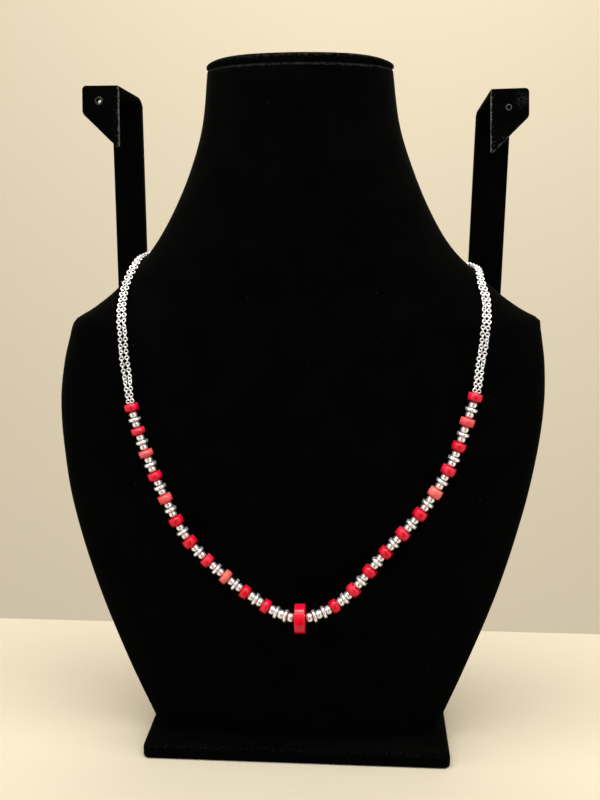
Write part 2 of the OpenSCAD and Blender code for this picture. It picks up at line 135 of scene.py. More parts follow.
# Diameter of each kind of bead, and its length along the string.
CENTRE_D, CENTRE_T = 13.7, 4.9
CORAL_D, CORAL_T = 6.45, 3.6
ROUND_D, ROUND_L = 4.4, 2.75
RING_D, RING_T = 5.9, 1.35
BORE_D, THREAD_D = 1.1, 0.6
# The gap between two beads, and beside the centre coral.
BEAD_GAP, CENTRE_GAP = 0.32, 0.68
# The distance between the two strands of chain.
STRAND_PITCH = 2.65
CLASP_D, CLASP_L = 5.0, 12.0
# Which way along the route each side runs.
SIGN = {"left": 1, "right": -1}
ROUND, RING, CORAL = range(3)
PATTERN = [ROUND, RING, ROUND, RING, ROUND, CORAL] + [ROUND, RING, ROUND, CORAL] * 10


def unit(v):
    return v / np.linalg.norm(v, axis=-1, keepdims=True)


def run_lengths(points):
    """How far each point lies along a line of points."""
    return np.concatenate([[0], np.cumsum(np.linalg.norm(np.diff(points, axis=0), axis=1))])


def column(z, c):
    """One column of the section table at any height, on a smooth curve through its rows."""
    heights, values = SECTIONS[:, HEIGHT], SECTIONS[:, c]
    z = np.clip(z, heights[0], heights[-1])
    b = np.clip(np.searchsorted(heights, z), 1, len(heights) - 1)
    a = b - 1
    row = np.arange(len(heights))
    before, after = np.maximum(row - 1, 0), np.minimum(row + 1, row[-1])
    slopes = (values[after] - values[before]) / (heights[after] - heights[before])
    span = heights[b] - heights[a]
    t = (z - heights[a]) / span
    return (
        values[a] * (2 * t**3 - 3 * t**2 + 1)
        + values[b] * (3 * t**2 - 2 * t**3)
        + span * ((t**3 - 2 * t**2 + t) * slopes[a] + (t**3 - t**2) * slopes[b])
    )


def skin(turn, z, share=1.0):
    """A point of the velvet: turn 0 is right, 90 front, 180 left and 270 back."""
    turn, z = np.broadcast_arrays(np.asarray(turn, float), np.asarray(z, float))
    half, bulge, side, corner, shift = (column(z, c) for c in (HALF, BULGE, SIDE, CORNER, SHIFT))
    middle = BACK_FOOT + (z - BASE_T) * tan(LEAN) - side
    a = turn % 360
    front, back = a <= 180, (a > BACK_FROM) & (a <= BACK_TO)
    rad = np.radians(a)
    t = np.radians(np.where(a <= BACK_FROM, a - 180, 360 - a) * 2)
    x = np.where(a <= BACK_FROM, -1, 1) * (half - corner + corner * np.cos(t))
    x = np.where(back, (half - corner) * (a - 270) / (BACK_TO - 270), x)
    x = np.where(front, half * np.cos(rad), x) + shift * np.where(front, np.cos(rad) ** 2, 1)
    y = np.where(back, side, side * np.sin(t))
    y = np.where(front, -bulge * np.sin(rad), y)
    return np.stack([x * share, middle + y * share, z], -1)


def skin_normal(turn, z):
    upward = skin(turn, z + NUDGE) - skin(turn, z - NUDGE)
    onward = skin(turn + NUDGE, z) - skin(turn - NUDGE, z)
    return unit(np.cross(upward, onward))


def route_points():
    """Points along the closed route and the velvet's normals there."""
    last = len(ROUTE) - 1
    turn_back = np.array([360.0, 0, 0])
    rows = np.vstack([ROUTE[last - 1] - turn_back, ROUTE, ROUTE[1] + turn_back])
    values = []
    for k in range(last):
        a, b, c, d = rows[k:k + 4]
        for j in range(ROUTE_STEPS):
            t = j / ROUTE_STEPS
            values.append((2 * b + (c - a) * t + (2 * a - 5 * b + 4 * c - d) * t**2
                           + (3 * b - a - 3 * c + d) * t**3) / 2)
    values = np.array(values + [ROUTE[last]])
    normals = skin_normal(values[:, 0], values[:, 1])
    return skin(values[:, 0], values[:, 1]) + normals * values[:, 2:], normals


POINTS, NORMALS = route_points()
RUNS = run_lengths(POINTS)
LOOP = RUNS[-1]
CENTRE_RUN = RUNS[CENTRE_ROW * ROUTE_STEPS]


def along(s, table):
    run = np.mod(np.asarray(s, float) + CENTRE_RUN, LOOP)
    return np.stack([np.interp(run, RUNS, table[:, c]) for c in range(3)], -1)


def at(s):
    return along(s, POINTS)


def axes(ahead, s):
    """Ahead, across it on the velvet, and out of the velvet."""
    across = unit(np.cross(ahead, along(s, NORMALS)))
    return ahead, across, np.cross(across, ahead)


def frame_at(s):
    s = np.asarray(s)
    return axes(unit(at(s + LOOK) - at(s - LOOK)), s)


def bead_starts(side):
    """How far along the route each bead of a side begins, and where the last one ends."""
    starts, s, number = [], CENTRE_T / 2 + CENTRE_GAP, 0
    for kind in PATTERN:
        length = (ROUND_L, RING_T, CORAL_T)[kind]
        if kind == CORAL:
            length *= CORALS[side][number][1]
            number += 1
        starts.append((s, length))
        s += length + BEAD_GAP
    return starts, s - BEAD_GAP


BEADS, ENDS = {}, {}
for side_name in SIGN:
    BEADS[side_name], ENDS[side_name] = bead_starts(side_name)
CLASP_RUN = LOOP / 2


def strung(middle, length):
    """Centre and axes of a bead whose bore has both its ends on the route."""
    start, end = at(middle - length / 2), at(middle + length / 2)
    return (start + end) / 2, *axes(unit(end - start), middle)


# Meshes

def mesh_object(name, shape, material, mark=None, crease=None, smooth=True, recalc=True):
    """An object from points in mm and faces; its mark is a point attribute's name and its values."""
    points, faces = shape
    mesh = bpy.data.meshes.new(name)
    mesh.from_pydata((np.asarray(points) * MM).tolist(), [], [list(map(int, f)) for f in faces])
    if mark:
        values = np.repeat(mark[1], len(points) // len(mark[1])).astype(np.float32)
        mesh.attributes.new(mark[0], "FLOAT", "POINT").data.foreach_set("value", values)
    if recalc:
        bm = bmesh.new()
        bm.from_mesh(mesh)
        bmesh.ops.recalc_face_normals(bm, faces=bm.faces)
        # The shading is split where two faces meet at more than the crease, in degrees.
        for edge in bm.edges if crease else ():
            edge.smooth = not (len(edge.link_faces) == 2 and edge.calc_face_angle(0) > radians(crease))
        bm.to_mesh(mesh)
        bm.free()
    mesh.polygons.foreach_set("use_smooth", [smooth] * len(mesh.polygons))
    mesh.update()
    obj = new_object(name, mesh)
    mesh.materials.append(material)
    return obj


def circle(sides):
    return np.arange(sides) * tau / sides


def loft_faces(rings, sides, closed=False):
    """Quads between rings of points; closed joins the last ring to the first."""
    rows = np.arange(rings if closed else rings - 1)[:, None] * sides
    j = np.arange(sides)[None, :]
    total = rings * sides
    a, b = rows + j, rows + (j + 1) % sides
    return np.stack([a, b, (b + sides) % total, (a + sides) % total], -1).reshape(-1, 4).tolist()


def capped(rings):
    """Points and faces through rings of points, with one face over each end."""
    count, sides = len(rings), len(rings[0])
    ends = [list(range(sides)), list(range((count - 1) * sides, count * sides))]
    return np.concatenate(rings), loft_faces(count, sides) + ends


def gather(parts):
    """One set of points and faces from several."""
    points, faces, first = [], [], 0
    for some_points, some_faces in parts:
        points.append(some_points)
        faces += [[i + first for i in f] for f in some_faces]
        first += len(some_points)
    return np.concatenate(points), faces


def add_piece(name, slot, shape, material, *nodes, **looks):
    """A mesh object on the stand's body, in the place of CAD nodes; the slot is not used."""
    obj = mesh_object(name, shape, material, **looks)
    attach(obj, BODY)
    if nodes:
        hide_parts(*nodes)


# Materials

class Nodes:
    """A node tree with a few short ways to add to it."""

    def __init__(self, tree):
        self.tree = tree

    def put(self, socket, value):
        """Sets an input socket, or links it where the value is an output socket."""
        if isinstance(value, bpy.types.NodeSocket):
            self.tree.links.new(value, socket)
        else:
            socket.default_value = value

    def fill(self, node, inputs):
        for key, value in inputs.items():
            self.put(node.inputs[key.replace("_", " ")], value)
        return node

    def add(self, kind, *values, **inputs):
        """A new node with its first inputs in order, and others by name."""
        node = self.tree.nodes.new("ShaderNode" + kind)
        for socket, value in zip(node.inputs, values):
            self.put(socket, value)
        return self.fill(node, inputs)

    def math(self, operation, *values, kind="Math", out="Value"):
        node = self.add(kind, *values)
        node.operation = operation
        return node.outputs[out]

    def vector(self, operation, *values, out="Vector"):
        return self.math(operation, *values, kind="VectorMath", out=out)

    def mix(self, share, a, b):
        node = self.add("Mix", share)
        node.data_type = "RGBA"
        # The inputs and the output that a mix of colours uses.
        self.put(node.inputs[6], a)
        self.put(node.inputs[7], b)
        return node.outputs[2]


class Surface(Nodes):
    """A new material, the values of its shader's sockets, and patterns for it."""

    def __init__(self, name, **sockets):
        self.material = bpy.data.materials.new(name)
        self.material.use_nodes = True
        super().__init__(self.material.node_tree)
        self.shader = self.tree.nodes["Principled BSDF"]
        self.feed(**sockets)
        self.place = self.add("TexCoord").outputs["Object"]

    def feed(self, **sockets):
        self.fill(self.shader, sockets)

    def noise(self, scale, detail, roughness, place=None):
        node = self.add("TexNoise", place or self.place, Scale=scale, Detail=detail, Roughness=roughness)
        return node.outputs["Fac"]

    def spots(self, scale, size, share):
        """1 in small round spots, in a share of the cells."""
        cells = self.add("TexVoronoi", self.place, Scale=scale)
        near = self.math("LESS_THAN", cells.outputs["Distance"], size)
        pick = self.add("SeparateColor", cells.outputs["Color"])
        few = self.math("LESS_THAN", pick.outputs["Red"], share)
        return self.math("MULTIPLY", near, few)

    def span(self, value, low, high, to_low=0.0, to_high=1.0):
        """The value's way from low to high, eased at both ends."""
        node = self.add("MapRange", value, low, high, to_low, to_high)
        node.interpolation_type = "SMOOTHSTEP"
        return node.outputs[0]

    def mark(self, name):
        """A point attribute of the mesh."""
        node = self.add("Attribute")
        node.attribute_name = name
        return node.outputs["Fac"]

    def bump(self, height, distance, strength):
        """A bump on top of those already there."""
        node = self.add("Bump", Height=height, Distance=distance, Strength=strength)
        before = self.shader.inputs["Normal"].links
        if before:
            self.put(node.inputs["Normal"], before[0].from_socket)
        self.feed(Normal=node.outputs["Normal"])


def rgb(r, g, b):
    return (r, g, b, 1.0)


def velvet_material(name, sheen_and_wear, scuffed=None):
    """Black velvet, paler where its mesh's mark says: painted sheen where light catches its edges and tops,
    partly real wear on the ear plates' edges; with a scuffed patch at a point.
    """
    n = Surface(name, Roughness=0.95, Specular_IOR_Level=0.02, Sheen_Weight=0.02, Sheen_Roughness=0.3,
                Sheen_Tint=rgb(0.88, 0.85, 0.76))
    nap = n.noise(55, 4, 0.6)
    pile = n.noise(2600, 2, 0.6)
    colour = n.mix(n.span(nap, 0.35, 0.65), rgb(0.0001, 0.0001, 0.0001), rgb(0.0006, 0.0006, 0.0005))
    colour = n.mix(n.span(pile, 0.5, 0.8), colour, rgb(0.0016, 0.0016, 0.0014))
    # The pale places are painted sheen where light catches edges and tops, and on the ear plates' edges
    # partly real wear, made ragged by noise.
    ragged = n.math("ADD", n.mark("sheen_and_wear"), n.span(n.noise(900, 3, 0.6), 0.32, 0.68, -0.5, 0.25))
    colour = n.mix(n.span(ragged, 0.3, 1.0), colour, rgb(sheen_and_wear, sheen_and_wear, sheen_and_wear * 0.96))
    if scuffed:
        near = n.span(n.vector("DISTANCE", n.place, scuffed, out="Value"), 0.005, 0.001)
        rubbed = n.span(n.noise(1500, 3, 0.65), 0.5, 0.66)
        colour = n.mix(n.math("MULTIPLY", near, rubbed), colour, rgb(0.022, 0.022, 0.021))
    lint = n.math("MAXIMUM", n.spots(105, 0.03, 0.12), n.spots(330, 0.07, 0.03))
    colour = n.mix(n.math("MULTIPLY", lint, 0.12), colour, rgb(0.2, 0.2, 0.18))
    n.feed(Base_Color=colour)
    n.bump(pile, 0.00012, 0.6)
    n.bump(nap, 0.0004, 0.3)
    return n.material


def coral_material(name, deep, lively, pale, seed):
    """Polished coral, cloudy between two colours and paler in flecks, with a painted highlight on its rounded
    edges and a few dark pits.
    """
    n = Surface(name, Roughness=0.15, Specular_IOR_Level=0.36, Coat_Weight=0.04, Coat_Roughness=0.1, IOR=1.5)
    deep, lively, pale = rgb(*deep), rgb(*lively), rgb(*pale)
    place = n.add("Mapping", n.place, (seed * 0.013, seed * 0.007, 0)).outputs[0]
    cloud = n.noise(170, 3, 0.55, place)
    mottle = n.noise(900, 4, 0.6, place)
    grain = n.noise(3200, 2, 0.5, place)
    pits = n.span(n.noise(1500, 2, 0.5, place), 0.68, 0.76)
    colour = n.mix(n.span(cloud, 0.38, 0.62), deep, lively)
    colour = n.mix(n.span(mottle, 0.62, 0.85, 0, 0.15), colour, pale)
    # A painted highlight: the rounded edges are paler, as if they reflected the light.
    colour = n.mix(n.span(n.mark("edge"), 0.1, 1.0, 0, 0.2), colour, pale)
    colour = n.mix(n.math("MULTIPLY", pits, 0.35), colour, rgb(0.2, 0.01, 0.012))
    n.feed(Base_Color=colour, Roughness=n.span(mottle, 0.3, 0.7, 0.14, 0.22))
    n.bump(grain, 0.00002, 0.1)
    n.bump(cloud, 0.00015, 0.06)
    return n.material


def silver_material(name, metallic, roughness, mark=None):
    """Silver that is brown where the mesh's mark is."""
    n = Surface(name, Metallic=metallic, Roughness=roughness, Specular_IOR_Level=0.6)
    cloud = n.noise(650, 3, 0.6)
    colour = n.mix(n.span(cloud, 0.4, 0.75), rgb(1.0, 0.98, 0.96), rgb(0.97, 0.945, 0.915))
    if mark:
        colour = n.mix(n.math("MULTIPLY", n.mark(mark), 0.7), colour, rgb(0.3, 0.25, 0.2))
    n.feed(Base_Color=colour, Roughness=n.span(cloud, 0.35, 0.75, roughness * 0.8, roughness * 1.35))
    n.bump(n.noise(4200, 2, 0.5), 0.00002, 0.3)
    return n.material


def two_tone(name, pale, dark, pattern, low, high, bump, relief=None, **sockets):
    """A material of two colours in one noise pattern, with a bump from it or from a relief of its own."""
    n = Surface(name, **sockets)
    noise = n.noise(*pattern)
    n.feed(Base_Color=n.mix(n.span(noise, low, high), rgb(*pale), rgb(*dark)))
    n.bump(n.noise(*relief) if relief else noise, *bump)
    return n.material


def stage_material(name, pale, dark, scale):
    return two_tone(name, pale, dark, (scale, 3, 0.55), 0.3, 0.7, (0.0002, 0.15), (300, 3, 0.6),
                    Roughness=0.75, Specular_IOR_Level=0.25)


# The ear plates' velvet is paler at their edges, partly painted sheen and partly wear; the rest has a faint
# painted sheen on its lit edges and tops.
SHEEN_AND_WEAR_VELVET = velvet_material("velvet_sheen_and_wear", sheen_and_wear=0.1)
RIM_VELVET = velvet_material("velvet_rim", sheen_and_wear=0.018)
# Each coral's ground colours, and the colour of its flecks and of the painted highlight on its edges.
CORAL_COLOURS = [
    ("red_a", (0.62, 0.001, 0.014), (0.7, 0.002, 0.025), (0.86, 0.07, 0.09)),
    ("red_b", (0.58, 0.001, 0.013), (0.67, 0.002, 0.023), (0.84, 0.05, 0.07)),
    ("red_c", (0.66, 0.003, 0.025), (0.74, 0.014, 0.045), (0.88, 0.15, 0.15)),
    ("pink_a", (0.76, 0.055, 0.06), (0.83, 0.1, 0.1), (0.93, 0.4, 0.38)),
    ("pink_b", (0.78, 0.085, 0.07), (0.84, 0.14, 0.12), (0.94, 0.48, 0.42)),
    ("centre", (0.66, 0.002, 0.014), (0.76, 0.003, 0.024), (0.88, 0.08, 0.09)),
]
coral_looks = [coral_material(f"coral_{name}", *colours, seed)
               for seed, (name, *colours) in enumerate(CORAL_COLOURS, 1)]
RED, PINK, CENTRE_RED = coral_looks[:3], coral_looks[3:5], coral_looks[5]
SILVER = silver_material("silver_beads", 0.74, 0.09, "tarnish")
CHAIN_SILVER = silver_material("silver_chain", 0.82, 0.28)
THREAD = two_tone("thread", (0.35, 0.32, 0.27), (0.6, 0.56, 0.48), (2400, 2, 0.6), 0.35, 0.65, (0.00005, 0.6),
                  Roughness=0.6, Sheen_Weight=0.2)
GROMMET = {
    side: two_tone(f"grommet_{side}", [bright] * 3, [dark] * 3, (900, 3, 0.6), 0.35, 0.7, (0.00004, 0.4),
                   Metallic=0.4, Roughness=0.45)
    for side, bright, dark in (("left", 0.02, 0.002), ("right", 0.13, 0.06))
}

# The velvet body

# How far the velvet is drawn in just above the foot, by height above it.
TUCK_HEIGHTS, TUCK_DEPTHS = [0, 0.15, 0.5, 1.2], [0.8, 0.4, 0.12, 0]
BODY_RINGS = 158
# The seams along the back's edges: their depth, and their width in degrees round the section.
SEAM_DEPTH, SEAM_WIDTH = 0.35, 0.35
# How pale the velvet is painted on the neck's rolled edge, and just below it: painted sheen where the edge
# catches the light from above.
EDGE_SHEEN, BELOW_EDGE_SHEEN = 0.9, 0.35
NECK_HALF = SECTIONS[-1, HALF]


def bust_turns():
    """The turns round the section at which the body and the cap are drawn."""
    front = np.linspace(0, 180, 145)[:-1]
    corner = np.concatenate([np.linspace(0, 42, 15), [43.2, 44.2, 45, 45.4, 46]])
    back = np.linspace(48, 132, 43)
    return np.concatenate([front, 180 + corner, 180 + back, (360 - corner)[::-1][:-1]])


def make_bust():
    turns = bust_turns()
    low, high = BASE_T + np.array(TUCK_HEIGHTS), STAND_H - NECK_EDGE
    heights = np.concatenate([low, np.linspace(BASE_T + 3, high - 2, BODY_RINGS), [high]])
    tuck = np.interp(heights, low, TUCK_DEPTHS)
    from_edge = np.minimum(abs(turns - BACK_FROM), abs(turns - BACK_TO))
    seam = SEAM_DEPTH * np.exp(-(from_edge / SEAM_WIDTH) ** 2)
    rings = []
    for z, inset in zip(heights, tuck):
        normal = skin_normal(turns, np.clip(z, BASE_T + NUDGE, STAND_H - NUDGE))
        normal[:, 2] = 0
        rings.append(skin(turns, z) - unit(normal) * (inset + seam)[:, None])
    # The ring just below the neck's edge and the rolled edge itself get painted sheen.
    sheen_and_wear = [0.0] * (len(rings) - 1) + [BELOW_EDGE_SHEEN]
    for a in np.radians([15, 30, 45, 60, 75, 90]):
        z = STAND_H - NECK_EDGE * (1 - sin(a))
        rings.append(skin(turns, z, 1 - NECK_EDGE * (1 - cos(a)) / NECK_HALF))
        sheen_and_wear.append(EDGE_SHEEN)
    add_piece("velvet_body", "velvet", capped(rings), RIM_VELVET, "bust_body", mark=("sheen_and_wear", sheen_and_wear), crease=50)


# The cap: how far its rim stands out past the neck, and how high.
CAP_PROFILE = [
    (-0.8, 0.02), (-0.25, 0.05), (0.15, 0.2), (0.38, 0.5), (0.48, 0.95), (0.5, 1.5), (0.49, 2.2),
    (0.42, 2.7), (0.24, 3.15), (-0.08, 3.52), (-0.5, 3.76), (-0.95, 3.87), (-1.4, 3.9),
]
CAP_T = 3.9
# The dome on it: its height, where it starts, and its rings, as shares of the cap's width.
CAP_DOME = 0.7
DOME_FROM = 0.97
DOME_RINGS = (0.95, 0.9, 0.84, 0.76, 0.66, 0.54, 0.4, 0.25, 0.1)
# By what share the cap is thinner at its sides, and how suddenly.
CAP_TAPER = 0.5
TAPER_POWER = 6
# The waves round the rim: their number, height and phase.
CAP_WAVES = [(3, 0.05, 0.6), (7, 0.035, 2.1), (17, 0.02, 0)]
# How pale the rim is painted at some heights, and the dome: painted sheen, stronger up the rim and on the
# upward-facing dome.
RIM_SHEEN = ([0.8, 1.6, 2.6, 3.4, 3.9], [0, 0.15, 0.5, 0.7, 0.6])
DOME_SHEEN = 0.35


def make_cap():
    turns = bust_turns()
    wave = sum(height * np.sin(number * np.radians(turns) + phase) for number, height, phase in CAP_WAVES)

    def thin(x):
        return 1 - CAP_TAPER * abs(x / NECK_HALF) ** TAPER_POWER

    # The marks are painted sheen on the rim's upper part and on the dome.
    rings, sheen_and_wear = [], []
    for out, up in CAP_PROFILE:
        ring = skin(turns, STAND_H, 1 + out / NECK_HALF)
        ring[:, 2] += up * thin(skin(turns, STAND_H)[:, 0]) + wave * min(up, CAP_T - up) / CAP_T * 2
        rings.append(ring)
        sheen_and_wear.append(np.interp(up, *RIM_SHEEN))
    for share in DOME_RINGS:
        ring = skin(turns, STAND_H, share)
        # The dome rises from the thinned rim to its full height over the outer part of the cap.
        ring[:, 2] += CAP_T * thin(ring[:, 0]) + CAP_DOME * (1 - (share / DOME_FROM) ** 2) + 0.1 * wave
        rings.append(ring)
        sheen_and_wear.append(DOME_SHEEN)
    add_piece("cap_disc", "velvet", capped(rings), RIM_VELVET, "neck_cap", mark=("sheen_and_wear", sheen_and_wear), crease=60)


# The base plate, covered in velvet that is folded at its corners.
BASE_W, BASE_FRONT, BASE_BACK, BASE_CORNER = 149.2, 50.0, 55.0, 3.5
# Inset from the outline, height, and depth of the corner folds, from the underside to the middle of the top.
BASE_PROFILE = [
    (12, 0, 0), (4, 0, 0), (1.3, 0, 0), (0.7, 0.12, 0.1), (0.2, 0.5, 0.25), (0, 1.1, 0.3), (0, 2.2, 0.3),
    (0, 3.4, 0.3), (0, 4.6, 0.3), (0.13, 5.4, 0.3), (0.5, 6.15, 0.3), (1.1, 6.7, 0.32), (1.9, 6.95, 0.34),
    (2.6, 7, 0.34), (4, 7, 0.34), (6, 7, 0.32), (8.5, 7, 0.28), (11, 7, 0.2), (14, 7, 0.08), (18, 7, 0),
    (30, 7, 0), (48, 7, 0),
]
CORNER_STEPS = 12
# Below this height the folds sink inwards, and above it downwards.
SIDE_H = 6
# A fold's width in steps, and how suddenly and how far the velvet laps over beside it.
FOLD_WIDTH, LAP_RISE, LAP_DEPTH = 0.8, 1.5, 0.12


def base_ring(inset):
    """The plate's outline drawn in by an inset, with the same number of points whatever the inset."""
    radius = max(BASE_CORNER - inset, 0.9)
    x, front, back = BASE_W / 2 - inset - radius, -BASE_FRONT + inset + radius, BASE_BACK - inset - radius
    ring = []
    for cx, cy, start in ((x, back, 0), (-x, back, 90), (-x, front, 180), (x, front, 270)):
        for j in range(CORNER_STEPS + 1):
            a = radians(start + 90 * j / CORNER_STEPS)
            ring.append((cx + radius * cos(a), cy + radius * sin(a)))
    return np.array(ring)


def make_base():
    sides = 4 * (CORNER_STEPS + 1)
    step = np.arange(sides) % (CORNER_STEPS + 1) - CORNER_STEPS / 2
    fold = np.exp(-(step / FOLD_WIDTH) ** 2)
    lap = LAP_DEPTH * (1 / (1 + np.exp(-step * LAP_RISE)) - 0.5) * (abs(step) < CORNER_STEPS / 2)
    middle = np.array([0, (BASE_BACK - BASE_FRONT) / 2])
    rings, sheen_and_wear = [], []
    for inset, z, depth in BASE_PROFILE:
        outline = base_ring(inset)
        sunk = np.maximum(depth * fold - lap * (depth > 0.05), 0)
        inwards = sunk * (z < SIDE_H)
        outline += unit(middle - outline) * inwards[:, None]
        rings.append(np.column_stack([outline, z - (sunk - inwards)]))
        # Painted sheen along the top's rounded edge, and a fainter one on the top itself.
        sheen_and_wear.append(0.3 if 0.4 < inset < 2 and z > SIDE_H else 0.1 if z == BASE_T else 0.0)
    add_piece("base_board", "velvet", capped(rings), RIM_VELVET, "base_plate", mark=("sheen_and_wear", sheen_and_wear))


# The earring arms, in the leaning frame of the back.
POST_W, POST_T, POST_FOOT, POST_ROUND = 14.5, 5.0, 150.0, 0.9
PLATE_T, EAR_W, EAR_H, EAR_OUTER_H, EAR_REACH = 2.5, 17.4, 29.5, 12.8, 20.0
EAR_HOLE_D, EAR_HOLE_IN, EAR_ROUND, EAR_LOW_ROUND, EAR_IN_ROUND = 2.0, 8.0, 2.0, 3.0, 0.7
# Side, inner sides of post and plate, the plate's top, the web's fall, the post's lean and the plate's turn
# in degrees, how much wider the post is, and the hole's shift outwards and down.
ARMS = {
    "left": (-1, 78.0, 85.2, 319.0, 1.0, 1.4, 0.0, 0.0, 1.3, -0.8),
    "right": (1, 82.3, 87.7, 315.5, 4.75, 1.8, 1.4, 1.7, 0.3, 0.3),
}
LEAN_FROM = 262.0
# Radius of a plate's softened edges, and of a web's.
SOFT_EDGE, WEB_EDGE = 0.55, 0.45
# Radius of the bend between an arm's web and its post.
BEND = {"left": 3.2, "right": 2.0}
FIT_GAP = 0.1
# How far the end of a web lies inside the sides of its post.
WEB_IN = 0.15
# How far in a plate's inner edge is pale, how pale its top is, and its rounding's paleness from face to side:
# painted sheen where its edges catch the light, partly real wear.
INNER_SHEEN_AND_WEAR, TOP_SHEEN_AND_WEAR, SOFT_SHEEN_AND_WEAR = 0.65, 0.45, (0.25, 0.6, 0.85, 1, 1)
# Where the right plate is scuffed: outwards and down from its top inner corner.
SCUFF_OUT, SCUFF_DOWN = 14.2, 5.0
HOLE_SIDES = 20
# Outer and wire radius of each ear plate's ring round its hole.
GROMMETS = {"left": (2.0, 0.42), "right": (1.35, 0.17)}


def rounded(points, radii, steps):
    """An outline whose corners are rounded to the radius beside each point."""
    outline = []
    points = np.array(points, float)
    for before, p, after, radius in zip(np.roll(points, 1, 0), points, np.roll(points, -1, 0), radii):
        u, v = unit(before - p), unit(after - p)
        half = acos(np.clip(u @ v, -1, 1)) / 2
        arc = pi - 2 * half
        middle = p + unit(u + v) * radius / sin(half)
        start = p + u * radius / tan(half) - middle
        end = p + v * radius / tan(half) - middle
        for j in range(steps + 1):
            blend = start * sin(arc * (1 - j / steps)) + end * sin(arc * j / steps)
            outline.append(middle + unit(blend) * radius)
    return np.array(outline)


def inset_outline(outline, inset):
    """The outline, which runs anticlockwise, drawn in by an inset."""
    before = unit(outline - np.roll(outline, 1, axis=0))
    after = unit(np.roll(outline, -1, axis=0) - outline)
    side_a = np.column_stack([-before[:, 1], before[:, 0]])
    side_b = np.column_stack([-after[:, 1], after[:, 0]])
    mitre = unit(side_a + side_b)
    return outline + mitre * (inset / np.maximum((mitre * side_a).sum(1), 0.3))[:, None]


def board(outline, thickness, soft, centre, radius, plate_sheen_and_wear):
    """A flat drilled board with softened edges: points (across, up, depth), faces, and the paleness at each
    point, partly painted sheen and partly wear.
    """
    bm = bmesh.new()
    layer = bm.verts.layers.float.new("sheen_and_wear")

    def join(one, two):
        for j in range(len(one)):
            bm.faces.new((one[j - 1], one[j], two[j], two[j - 1]))

    # Each level: inset, depth from the front, and paleness, which is painted sheen and wear.
    levels = [(soft * (1 - sin(a)), soft * (1 - cos(a)), w)
              for a, w in zip(np.radians([0, 22.5, 45, 67.5, 90]), SOFT_SHEEN_AND_WEAR)]
    levels += [(i, thickness - d, w) for i, d, w in levels[::-1]]
    loops = []
    for inset, depth, share in levels:
        loop = [bm.verts.new((x, y, depth)) for x, y in inset_outline(outline, inset)]
        for vert, w in zip(loop, plate_sheen_and_wear):
            vert[layer] = share * w
        loops.append(loop)
    for one, two in zip(loops, loops[1:]):
        join(one, two)
    x, y = centre
    drilled = [[bm.verts.new((x + radius * cos(a), y + radius * sin(a), depth)) for a in circle(HOLE_SIDES)]
               for depth in (0, thickness)]
    join(*drilled)
    for end in zip((loops[0], loops[-1]), drilled):
        edges = [bm.edges.get((loop[j - 1], loop[j])) for loop in end for j in range(len(loop))]
        bmesh.ops.triangle_fill(bm, edges=edges, use_beauty=True)
    bmesh.ops.recalc_face_normals(bm, faces=bm.faces)
    bm.verts.index_update()
    points = np.array([v.co[:] for v in bm.verts])
    marks = np.array([v[layer] for v in bm.verts])
    faces = [[v.index for v in f.verts] for f in bm.faces]
    bm.free()
    return points, faces, marks


def sheet(path, inner, outer, thickness, soft):
    """A sheet with softened edges along a path of (depth, height), between its sides: points and faces."""
    ahead = unit(np.gradient(path, axis=0))
    rings = []
    for (y, z), (ay, az), left, right in zip(path, ahead, inner, outer):
        ring = []
        for side, level, start in ((1, 1, 0), (-1, 1, 90), (-1, -1, 180), (1, -1, 270)):
            x = right - soft if side > 0 else left + soft
            up = level * (thickness / 2 - soft)
            for a in np.radians([start, start + 30, start + 60, start + 90]):
                rise = up + soft * sin(a)
                ring.append((x + soft * cos(a), y - rise * az, z + rise * ay))
        rings.append(ring)
    return capped(rings)


def leant(shape, sign):
    """A shape from the back's leaning frame in the stand's, mirrored for the left arm."""
    points, faces = shape
    x, y, z = np.asarray(points).T
    shift = BACK_FOOT - BASE_T * tan(LEAN)
    return np.column_stack([
        x * sign,
        y * cos(LEAN) + z * sin(LEAN) + shift,
        z * cos(LEAN) - y * sin(LEAN),
    ]), faces


def ring_mesh(centre, axis_u, axis_v, major, minor, sides, wire, flat=1.0):
    """A closed ring: its points and faces."""
    axis_w = np.cross(axis_u, axis_v)
    a, b = circle(sides), circle(wire)
    out = np.cos(a)[:, None] * axis_u + np.sin(a)[:, None] * axis_v
    points = (centre + out[:, None, :] * (major + minor * np.cos(b))[None, :, None]
              + axis_w * (minor * flat * np.sin(b))[None, :, None])
    return points.reshape(-1, 3), loft_faces(sides, wire, closed=True)


